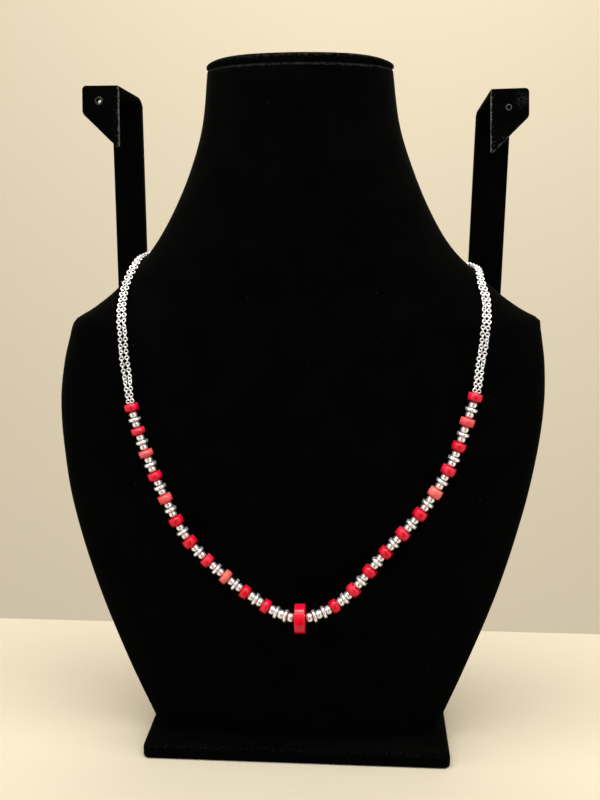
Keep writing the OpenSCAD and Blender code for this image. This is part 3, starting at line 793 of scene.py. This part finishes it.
def make_arm(side):
    sign, post_foot_in, ear_in, ear_top, drop, lean, turn, wider, hole_out, hole_down = ARMS[side]
    post_wide = POST_W + wider
    lean_share = tan(radians(lean))
    fall = atan(drop / EAR_REACH)

    # The ear plate, pale at its inner edge, and a little pale at its slanting one and its top: painted sheen
    # where the edges catch the light, partly real wear.
    shape = rounded([(0, -EAR_H), (EAR_W, -EAR_OUTER_H), (EAR_W, 0), (0, 0)],
                    [EAR_IN_ROUND, EAR_LOW_ROUND, EAR_ROUND, EAR_IN_ROUND], 10)
    x, y = shape.T
    slant = np.clip(1 - (y + EAR_H - x * (EAR_H - EAR_OUTER_H) / EAR_W), 0, 1)
    slant *= np.clip(1.5 - x / EAR_W, 0, 1) if side == "right" else 0.5
    # Painted sheen on the inner, slanting and top edges, with some real wear there too.
    plate_sheen_and_wear = np.maximum.reduce([np.clip(1 - x / INNER_SHEEN_AND_WEAR, 0, 1), slant, TOP_SHEEN_AND_WEAR * np.clip(1 + y, 0, 1)])
    hole_x, hole_z = EAR_HOLE_IN + hole_out, -EAR_HOLE_IN - hole_down
    c, s = cos(radians(turn)), sin(radians(turn))
    centre = (hole_x * c + hole_z * s, hole_z * c - hole_x * s)
    points, faces, marks = board(shape, PLATE_T, SOFT_EDGE, centre, EAR_HOLE_D / 2, plate_sheen_and_wear)
    x, y, depth = points.T
    points = np.column_stack([ear_in + x * c - y * s, depth - EAR_REACH, ear_top + x * s + y * c])
    cloth = SHEEN_AND_WEAR_VELVET
    if side == "right":
        spots, _ = leant(([(ear_in + SCUFF_OUT, -EAR_REACH, ear_top - SCUFF_DOWN)], []), sign)
        cloth = velvet_material("velvet_scuffed", sheen_and_wear=0.12, scuffed=tuple(spots[0] * MM))
    add_piece(f"ear_plate_{side}", "velvet", leant((points, faces), sign), cloth, f"earring_arm_{side}",
              mark=("sheen_and_wear", marks), crease=40)

    # The web is a sheet that bends down into the post.
    bend = BEND[side]
    up = np.array([sin(fall), cos(fall)])
    first = np.array([PLATE_T / 2 - EAR_REACH, ear_top]) - up * PLATE_T / 2
    back = FIT_GAP + POST_T - PLATE_T / 2
    bend_y = back - bend + bend * sin(fall)
    bend_from = np.array([bend_y, first[1] - (bend_y - first[0]) * tan(fall)])
    middle = bend_from - up * bend
    path = [first + (bend_from - first) * t for t in np.linspace(0, 1, 13)]
    path += [middle + bend * np.array([sin(a), cos(a)])
             for a in np.linspace(fall, pi / 2, 10)[1:]]
    share = run_lengths(path) / run_lengths(path)[-1]
    bend_end = path[-1][1]
    post_in = post_foot_in + (bend_end - LEAN_FROM) * lean_share
    inner = ear_in + (post_in - ear_in) * share
    outer = ear_in + EAR_W - EAR_ROUND + (post_in + post_wide - ear_in - EAR_W + EAR_ROUND) * share
    # Its end runs on inside the post.
    path += [path[-1] + (-0.1, -1.0), path[-1] + (-0.1, -4.0)]
    web = sheet(np.array(path), np.append(inner, [post_in + WEB_IN] * 2),
                np.append(outer, [post_in + post_wide - WEB_IN] * 2), PLATE_T, WEB_EDGE)

    back = FIT_GAP + POST_T
    section = rounded([(0, FIT_GAP), (post_wide, FIT_GAP), (post_wide, back), (0, back)], [POST_ROUND] * 4, 4)
    rings = []
    for z, inset in ((POST_FOOT, 0.6), (POST_FOOT + 0.2, 0.2), (POST_FOOT + 0.7, 0),
                     *((z, 0) for z in np.linspace(POST_FOOT + 12, bend_end - 14, 14)),
                     (bend_end - 1.2, 0), (bend_end - 0.6, 0.06), (bend_end - 0.2, 0.25), (bend_end, 0.6)):
        outline = inset_outline(section, inset)
        shift = post_foot_in + (z - LEAN_FROM) * lean_share
        rings.append(np.column_stack([outline[:, 0] + shift, outline[:, 1], np.full(len(outline), z)]))
    add_piece(f"ear_post_{side}", "velvet", leant(gather([capped(rings), web]), sign), SHEEN_AND_WEAR_VELVET,
              mark=("sheen_and_wear", [0.0]), crease=40)

    radius, wire = GROMMETS[side]
    right, top = np.array([1.0, 0, 0]), np.array([0, 0, 1.0])
    parts = []
    for depth in (-EAR_REACH, -EAR_REACH + PLATE_T):
        centre = np.array([ear_in + hole_x, depth, ear_top + hole_z])
        parts.append(ring_mesh(centre, right, top, radius - wire, wire, 28, 8, 0.7))
    add_piece(f"ear_grommet_{side}", "velvet", leant(gather(parts), sign), GROMMET[side])


# Beads

def revolved(profile, sides, place, wobble=None):
    """A drilled bead from its closed profile of (along, radius): its points and faces."""
    centre, ahead, across, out = place
    a = circle(sides)
    spoke = np.cos(a)[:, None] * across + np.sin(a)[:, None] * out
    profile = np.asarray(profile)
    radius = profile[:, 1][:, None] * np.ones(sides)
    ahead_by = profile[:, 0][:, None] * np.ones(sides)
    if wobble is not None:
        radius, ahead_by = wobble(radius, ahead_by, a)
    points = centre + spoke[None] * radius[..., None] + ahead * ahead_by[..., None]
    return points.reshape(-1, 3), loft_faces(len(profile), sides, closed=True)


# The bevel round a drum's bore: how deep and how wide.
BEVEL_DEEP, BEVEL_WIDE = 0.12, 0.14


def drum_profile(diameter, thickness, edge, steps, crown=0.0):
    """A drilled drum with rounded edges, and how far each point lies on an edge's rounding, where a coral
    gets a painted highlight.
    """
    r, h, b = diameter / 2, thickness / 2, BORE_D / 2
    end = [(-h + BEVEL_DEEP, b), (-h, b + BEVEL_WIDE), (-h, (b + r - edge) / 2), (-h, r - edge - 0.02)]
    marks = [0, 0, 0, 0.3]
    for j in range(steps + 1):
        a = pi / 2 * j / steps
        end.append((-h + edge * (1 - sin(a)), r - edge * (1 - cos(pi / 2 - a))))
        marks.append(1 - abs(j / steps - 0.5))
    side = [((h - edge) * t, r + crown * (1 - t * t)) for t in (-0.97, -0.5, 0, 0.5, 0.97)]
    other_end = [(-along_by, radius) for along_by, radius in end[::-1]]
    return end + side + other_end, marks + [0.0] * len(side) + marks[::-1]


# The waves round a hand-cut bead: their number and height, and how far it thins and leans towards its rim.
BEAD_WAVES = ((2, 0.5), (3, 0.35), (5, 0.25), (9, 0.15))
BEAD_THIN, BEAD_LEAN = 0.02, 0.6


def uneven(amount, seed):
    """A wobble that makes a hand-cut bead a little out of round and out of true."""
    rng = random.Random(seed)
    *phases, lean_phase = [rng.uniform(0, tau) for _ in range(5)]
    tilt = rng.uniform(-1, 1)

    def wobble(radius, ahead_by, a):
        far = radius / radius.max()
        wave = sum(height * np.cos(number * a + phase) for (number, height), phase in zip(BEAD_WAVES, phases))
        radius = radius + amount * far**2 * (wave - 0.5)
        lean = amount * BEAD_LEAN * far * tilt * np.cos(a + lean_phase)
        return radius, ahead_by * (1 - BEAD_THIN * far) + lean

    return wobble


# Rounding of the corals' edges, in finer detail than the plain model's, and how far the small ones bulge.
CENTRE_CORNER, CORAL_CORNER, CORAL_CROWN = 0.42, 1.1, 0.14
# How far the beads are out of round.
CENTRE_UNEVEN, CORAL_UNEVEN, SILVER_UNEVEN = 0.006, 0.05, 0.02
CENTRE_SIDES, CORAL_SIDES, SILVER_SIDES = 72, 32, 16
# The corals that are pink, and the pink of each.
PINKS = {("left", 3): 1, ("left", 7): 0, ("left", 9): 0, ("right", 7): 1, ("right", 10): 0}


def make_corals():
    profile, marks = drum_profile(CENTRE_D, CENTRE_T, CENTRE_CORNER, 7)
    shape = revolved(profile, CENTRE_SIDES, strung(0, CENTRE_T), uneven(CENTRE_UNEVEN, 3))
    add_piece("coral_drum_centre", "coral_red", shape, CENTRE_RED, "coral_centre", mark=("edge", marks))
    for side, sign in SIGN.items():
        drums = [bead for bead, kind in zip(BEADS[side], PATTERN) if kind == CORAL]
        for number, ((start, length), (wide, _)) in enumerate(zip(drums, CORALS[side]), 1):
            profile, marks = drum_profile(CORAL_D * wide, length, CORAL_CORNER, 5, CORAL_CROWN)
            place = strung(sign * (start + length / 2), length)
            wobble = uneven(CORAL_UNEVEN, number * 2 + (side == "left"))
            slot, material = "coral_red", RED[(number * 7 + (side == "left")) % 3]
            if (side, number) in PINKS:
                slot, material = "coral_pink", PINK[PINKS[side, number]]
            add_piece(f"coral_drum_{side}_{number:02d}", slot, revolved(profile, CORAL_SIDES, place, wobble),
                      material, f"coral_{side}_{number:02d}", mark=("edge", marks))


def round_profile(diameter, length):
    """A drilled ball with flat ends, and how near each point lies to an end."""
    r, h, b = diameter / 2, length / 2, BORE_D / 2
    end = acos(h / r)
    profile = [(-h + 0.1, b), (-h + 0.02, b + 0.1)]
    marks = [1, 0.9]
    steps = 9
    for j in range(steps + 1):
        a = end + (pi - 2 * end) * j / steps
        profile.append((-r * cos(a), r * sin(a)))
        marks.append(0.8 * max(0, 1 - min(j, steps - j) / 1.5))
    profile += [(h - 0.02, b + 0.1), (h - 0.1, b)]
    marks += [0.9, 1]
    return profile, marks


# How much longer than the plain model's the silver beads are, and the rounding of the rings' edges.
ROUND_MORE, RING_MORE, RING_CORNER = 0.24, 0.14, 0.68
# How much smaller they are away from the centre, and between which beads they grow smaller.
SMALLER = {"left": {ROUND: 0.85, RING: 0.98}, "right": {ROUND: 0.87, RING: 0.95}}
SMALLER_FROM, SMALLER_TO = 6, 12
# A ring is tarnished beside its bore, between these radii.
TARNISH_FROM, TARNISH_TO, RING_TARNISH = 1, 2.0, 0.9


def silver_bead(side, k):
    """Points, faces and tarnish of the silver bead with this number on its side."""
    kind, (start, length) = PATTERN[k], BEADS[side][k]
    rng = random.Random(k * 2 + (side == "left"))
    size = np.interp(k, [SMALLER_FROM, SMALLER_TO], [1.0, SMALLER[side][kind]]) * rng.uniform(1.0, 1.03)
    if kind == ROUND:
        profile, marks = round_profile(ROUND_D * size, length + ROUND_MORE)
    else:
        profile, _ = drum_profile(RING_D * size, length + RING_MORE, RING_CORNER, 4)
        marks = [RING_TARNISH if TARNISH_FROM < radius < TARNISH_TO else 0.0 for _, radius in profile]
    place = strung(SIGN[side] * (start + length / 2), length)
    return revolved(profile, SILVER_SIDES, place, uneven(SILVER_UNEVEN, k)), marks


def make_silver():
    for side in SIGN:
        for kind, name in ((ROUND, "round"), (RING, "ring")):
            beads = [silver_bead(side, k) for k in range(len(PATTERN)) if PATTERN[k] == kind]
            shapes, marks = zip(*beads)
            add_piece(f"silver_{name}_beads_{side}", "silver_beads", gather(shapes), SILVER,
                      f"silver_{name}s_{side}", mark=("tarnish", np.concatenate(marks)))


def tube(points, radius, sides):
    """A tube with closed ends along points in space."""
    ahead = unit(np.gradient(points, axis=0))
    side_way = unit(np.cross(ahead, [0.0, 0, 1]))
    up_way = np.cross(side_way, ahead)
    a = circle(sides)
    rings = (points[:, None] + radius * (np.cos(a)[None, :, None] * side_way[:, None]
                                         + np.sin(a)[None, :, None] * up_way[:, None]))
    return capped(rings)


# How far the thread runs past the last coral.
THREAD_PAST = 0.3


def make_thread():
    runs = [-CENTRE_T / 2, CENTRE_T / 2]
    for side, sign in SIGN.items():
        runs.append(sign * (ENDS[side] + THREAD_PAST))
        for start, length in BEADS[side]:
            runs += [sign * start, sign * (start + length)]
    add_piece("bead_thread", "thread", tube(at(np.sort(runs)), THREAD_D / 2, 8), THREAD, "thread")


# The chain: a link's outer diameter and wire, and the distance between links.
LINK_D, LINK_WIRE, LINK_PITCH = 2.36, 0.64, 1.44
LINK_SIDES, WIRE_SIDES = 16, 6
# The rings that end the strands, their distance from the clasp, and how far they and the last links reach in.
TIE_R, TIE_WIRE = 1.25, 0.4
TIE_AT, TIE_IN = 1.75, 0.35
# Along each side's strands, from the last coral on: how far apart they hang as a share of the usual distance,
# and how far the outer one rides up.
SPREAD = {
    "left": ([0, 4, 9, 15, 20, 27, 40, 50, 62, 75],
             [0.72, 0.74, 0.9, 1.05, 1.05, 0.98, 1.0, 0.92, 0.76, 0.66]),
    "right": ([0, 5, 12, 20, 30, 40, 50, 56, 62, 75],
              [0.7, 0.83, 0.82, 0.8, 0.76, 0.68, 0.6, 0.55, 0.55, 0.6]),
}
# How far, in mm, the two strands together lie further in than the plain model's.
DRIFT = {"left": ([0, 75], [0, 0]), "right": ([30, 42, 50, 56, 62, 72, 84], [0, 0.5, 0.9, 1.2, 1.2, 0.6, 0])}
RIDE_UP = {"left": ([50, 66], [0, 0.9]), "right": ([10, 20, 46, 56, 64], [0, 0.5, 1.1, 0.6, 0.6])}
# The links, counted from the last coral, around which each strand is turned; by how many degrees and links.
KINKS = {"left": {"inner": [7, 23], "outer": [7, 16]}, "right": {"inner": [13, 28], "outer": [9, 16]}}
KINK_TURN, KINK_REACH = 38, 1.6
# The strand's slow sway in degrees, its pace in radians per link, a link's own turn in degrees, and its tilt.
SWAY, SWAY_PACE = 7, 0.23
LINK_TURN, LINK_TILT = 6, 0.05
# The way that the links face.
FRONT = np.array([0.1, -1.0, 0.25])


def strand_line(side, s, shift):
    """The middle of a strand at distances along the string."""
    _, across, out = frame_at(s)
    past = np.abs(s) - ENDS[side]
    apart = np.interp(past, *SPREAD[side]) * shift + np.interp(past, *DRIFT[side])
    rise = np.interp(past, *RIDE_UP[side]) * (shift < 0)
    return at(s) + across * np.expand_dims(apart, -1) + out * np.expand_dims(rise, -1)


def strand(side, name, shift, twist_seed):
    """The interlocking links of one strand, each with its points and faces."""
    start = ENDS[side] + LINK_D / 2
    end = CLASP_RUN - CLASP_L / 2 - TIE_AT - TIE_IN
    fine = np.linspace(start, end, 400) * SIGN[side]
    run = run_lengths(strand_line(side, fine, shift))
    count = int(round(run[-1] / LINK_PITCH)) + 1
    places = np.interp(np.linspace(0, run[-1], count), run, fine)
    rng = random.Random(twist_seed)
    # Only the first is used, and the other two keep the order of the draws.
    phases = [rng.uniform(0, tau) for _ in range(3)]
    major = (LINK_D - LINK_WIRE) / 2
    parts = []
    for k, s in enumerate(places):
        ahead, across, out = frame_at(s)
        # Every second link faces the front, but for a few kinks.
        facing = atan2(-across @ FRONT, out @ FRONT)
        kink = sum(KINK_TURN * exp(-((k - link) / KINK_REACH) ** 2) for link in KINKS[side][name])
        sway = SWAY * sin(k * SWAY_PACE + phases[0])
        twist = facing + radians(kink + sway + rng.uniform(-LINK_TURN, LINK_TURN))
        if k % 2:
            twist += pi / 2
        flat = across * cos(twist) + out * sin(twist)
        tilt, lift = (rng.uniform(-LINK_TILT, LINK_TILT) for _ in range(2))
        tip = unit(ahead + across * tilt + out * lift)
        flat = unit(flat - tip * (flat @ tip))
        centre = strand_line(side, s, shift)
        parts.append(ring_mesh(centre, tip, flat, major, LINK_WIRE / 2, LINK_SIDES, WIRE_SIDES))
    return parts


def make_chains():
    for side in SIGN:
        for name, shift in (("inner", STRAND_PITCH / 2), ("outer", -STRAND_PITCH / 2)):
            links = gather(strand(side, name, shift, len(side) * 10 + len(name)))
            add_piece(f"link_chain_{side}_{name}", "silver_chain", links, CHAIN_SILVER,
                      f"chain_{side}_{name}", recalc=False)


def make_clasp():
    """A barrel clasp with a milled middle, and a ring at each end for the strands."""
    h, r = CLASP_L / 2, CLASP_D / 2
    outline = [(-h + 0.5, 0.35), (-h, 0.7), (-h + 0.05, 1.2), (-h + 0.35, 1.75), (-h + 0.95, 2.2),
               (-h + 1.9, r - 0.05), (-2.2, r), (-2.0, r - 0.25), (-1.7, r - 0.25), (-1.5, r), (-0.25, r),
               (-0.1, r - 0.2), (0.1, r - 0.2), (0.25, r)]
    # The other half mirrors this one up to the middle groove, which is whole already.
    profile = outline + [(-x, radius) for x, radius in outline[:-3][::-1]]
    place = strung(CLASP_RUN, CLASP_L)
    centre, ahead, across, _ = place
    parts = [revolved(profile, 32, place)]
    for end in (-1, 1):
        middle = centre + ahead * end * (h + TIE_R - TIE_IN)
        parts.append(ring_mesh(middle, across, ahead, TIE_R, TIE_WIRE / 2, 20, 6))
    add_piece("barrel_clasp", "silver_chain", gather(parts), CHAIN_SILVER, "clasp", crease=45)


make_bust()
make_cap()
make_base()
make_arm("left")
make_arm("right")
make_corals()
make_silver()
make_thread()
make_chains()
make_clasp()

# The stage: a pale table that ends just behind the stand, and a wall behind it.
TABLE_SIDE, TABLE_FRONT, TABLE_BACK, TABLE_T, TABLE_SOFT = 3000.0, -150.0, 100.0, 40.0, 2.0
WALL_SIDE, WALL_Y, WALL_LOW, WALL_HIGH = 4000.0, 1300.0, -2000.0, 3500.0
# Each lamp's place, the point that it faces and its size in metres, its power in watts and its colour.
LAMPS = {
    "ceiling": ((0.03, -0.12, 1.3), (0.03, -0.1, 0.1), (1.3, 0.2), 14, (1.0, 0.99, 0.97)),
    "table_front": ((0.02, -0.3, 0.55), (0.02, -0.15, 0), (0.9, 0.08), 1.3, (1.0, 0.99, 0.97)),
    "wall_wash": ((0.1, 0.5, 1.5), (0.05, 1.3, 0.4), (1.2, 0.5), 10.5, (1.0, 0.98, 0.93)),
}
# The light from all round: its strength, and its colours by degrees from the middle of a dark patch in front.
ROOM_STRENGTH = 0.95
BRIGHT, DIM, DARK = rgb(1.0, 0.98, 0.95), rgb(0.6, 0.585, 0.565), rgb(0.02, 0.018, 0.016)
ROOM_COLOURS = [(90, BRIGHT), (60, BRIGHT), (34, DIM), (28, DARK)]
# The patch's turn in degrees, its width against its height, and how far it is drawn out downwards.
PATCH_TURN, PATCH_WIDE, PATCH_BELOW = (-4, 0, 7), 0.54, 0.75


def make_stage():
    side, front, back = TABLE_SIDE, TABLE_FRONT, TABLE_BACK
    outline = [(-side, front), (side, front), (side, back), (-side, back)]
    points = [(x, y, z) for z in (-TABLE_T, 0) for x, y in outline]
    faces = [[0, 1, 2, 3], [4, 5, 6, 7], [0, 1, 5, 4], [1, 2, 6, 5], [2, 3, 7, 6], [3, 0, 4, 7]]
    cream = stage_material("table_top", (0.54, 0.482, 0.368), (0.525, 0.468, 0.357), 3)
    table = mesh_object("table", (points, faces), cream, smooth=False)
    soften = table.modifiers.new("soft_edge", "BEVEL")
    soften.width = TABLE_SOFT * MM
    soften.segments = 3
    corners = (-1, WALL_LOW), (1, WALL_LOW), (1, WALL_HIGH), (-1, WALL_HIGH)
    points = [(x * WALL_SIDE, WALL_Y, z) for x, z in corners]
    pale = stage_material("wall", (0.71, 0.625, 0.47), (0.7, 0.615, 0.46), 2)
    wall = mesh_object("wall", (points, [[0, 1, 2, 3]]), pale, smooth=False, recalc=False)


def area_light(name, place, target, size, power, colour):
    data = bpy.data.lights.new(name, "AREA")
    data.shape = "RECTANGLE"
    data.size, data.size_y = size
    data.energy = power
    data.color = colour
    light = new_object(name, data)
    light.location = place
    light.rotation_mode = "QUATERNION"
    light.rotation_quaternion = (Vector(target) - Vector(place)).to_track_quat("-Z", "Y")


def make_room():
    """The light from all round, which the camera sees bright everywhere."""
    world = bpy.data.worlds.new("room")
    bpy.context.scene.world = world
    world.use_nodes = True
    n = Nodes(world.node_tree)
    n.tree.nodes.clear()
    # The patch is an upright oval, and below the horizon it reaches further down.
    turn = n.add("Mapping", n.add("TexCoord").outputs["Generated"],
                 Rotation=[radians(a) for a in PATCH_TURN], Scale=(PATCH_WIDE, 1, 1))
    turn.vector_type = "TEXTURE"
    way = turn.outputs["Vector"]
    lower = n.vector("MULTIPLY", way, (1, 1, PATCH_BELOW))
    way = n.vector("NORMALIZE", n.vector("MAXIMUM", way, lower))
    front = n.add("ValToRGB", Fac=n.vector("DOT_PRODUCT", way, (0, -1, 0), out="Value"))
    ramp = front.color_ramp
    ramp.interpolation = "EASE"
    while len(ramp.elements) < len(ROOM_COLOURS):
        ramp.elements.new(0.5)
    for element, (angle, colour) in zip(ramp.elements, ROOM_COLOURS):
        element.position = cos(radians(angle))
        element.color = colour
    seen = n.add("LightPath").outputs["Is Camera Ray"]
    colour = n.mix(seen, front.outputs["Color"], BRIGHT)
    light = n.add("Background", Color=colour, Strength=ROOM_STRENGTH)
    n.add("OutputWorld", Surface=light.outputs["Background"])


make_stage()
for lamp, settings in LAMPS.items():
    area_light(lamp, *settings)
make_room()
